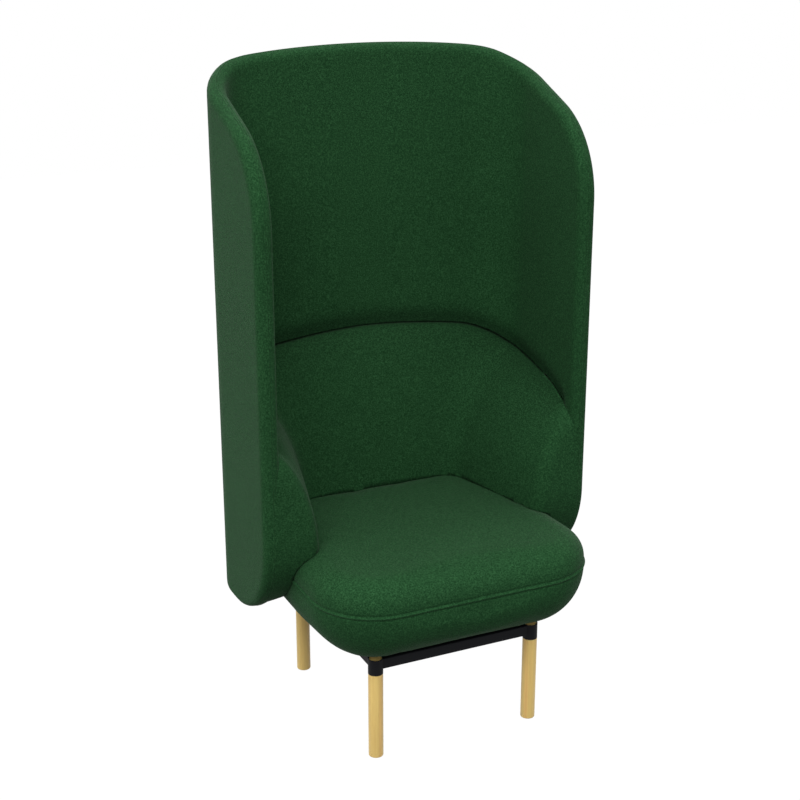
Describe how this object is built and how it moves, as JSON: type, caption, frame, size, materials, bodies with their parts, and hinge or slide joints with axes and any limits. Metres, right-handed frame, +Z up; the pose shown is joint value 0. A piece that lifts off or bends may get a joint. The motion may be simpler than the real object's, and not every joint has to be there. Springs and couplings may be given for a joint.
{
  "type": "lounge chair",
  "caption": "Acoustic high back lounge chair: deep crowned seat cushion, wrap-around felt shell with a low inner pad, and round wood legs in a black steel frame.",
  "frame": {"origin": "on the floor, under the middle of the chair's outline", "axes": "+Z up, -Y to the front of the chair, +X to the sitter's left, which is the picture's right"},
  "size_m": [0.776, 0.633, 1.473],
  "materials": {
    "leg_wood": "clear satin lacquer, grain along the leg",
    "glide_plastic": "matt",
    "frame_black": "matt powder coat",
    "fastener_steel": "zinc plated",
    "plywood": "plain plywood",
    "hidden_hardwood": "planed, unfinished",
    "foam": "soft moulded foam",
    "felt_green": "milled wool felt, faintly mottled",
    "lining_black": "thin non-woven lining"
  },
  "bodies": {
    "root": {"leg_front_left": "leg_wood", "leg_front_right": "leg_wood", "leg_rear_left": "leg_wood", "leg_rear_right": "leg_wood", "glide_front_left": "glide_plastic", "glide_front_right": "glide_plastic", "glide_rear_left": "glide_plastic", "glide_rear_right": "glide_plastic", "collar_front_left": "frame_black", "collar_front_right": "frame_black", "collar_rear_left": "frame_black", "collar_rear_right": "frame_black", "rail_front": "frame_black", "rail_rear": "frame_black", "rail_left": "frame_black", "rail_right": "frame_black", "mounting_plates": "frame_black", "leg_grub_screws": "fastener_steel", "frame_bolts": "fastener_steel", "frame_washers": "fastener_steel", "frame_tee_nuts": "fastener_steel", "deck_screws": "fastener_steel", "shell_bolts": "fastener_steel", "shell_washers": "fastener_steel", "shell_tee_nuts": "fastener_steel", "shell_spacers": "fastener_steel", "seat_deck": "plywood", "seat_bearer_left": "hidden_hardwood", "seat_bearer_right": "hidden_hardwood", "seat_board_left": "plywood", "seat_board_right": "plywood", "seat_board_front": "plywood", "seat_board_rear": "plywood", "shell_core": "plywood", "seat_foam": "foam", "shell_foam": "foam", "pad_foam": "foam", "seat_top_cover": "felt_green", "seat_side_cover": "felt_green", "seat_dust_cover": "lining_black", "shell_outer_cover": "felt_green", "shell_inner_cover": "felt_green", "pad_cover": "felt_green"}
  },
  "joints": []
}
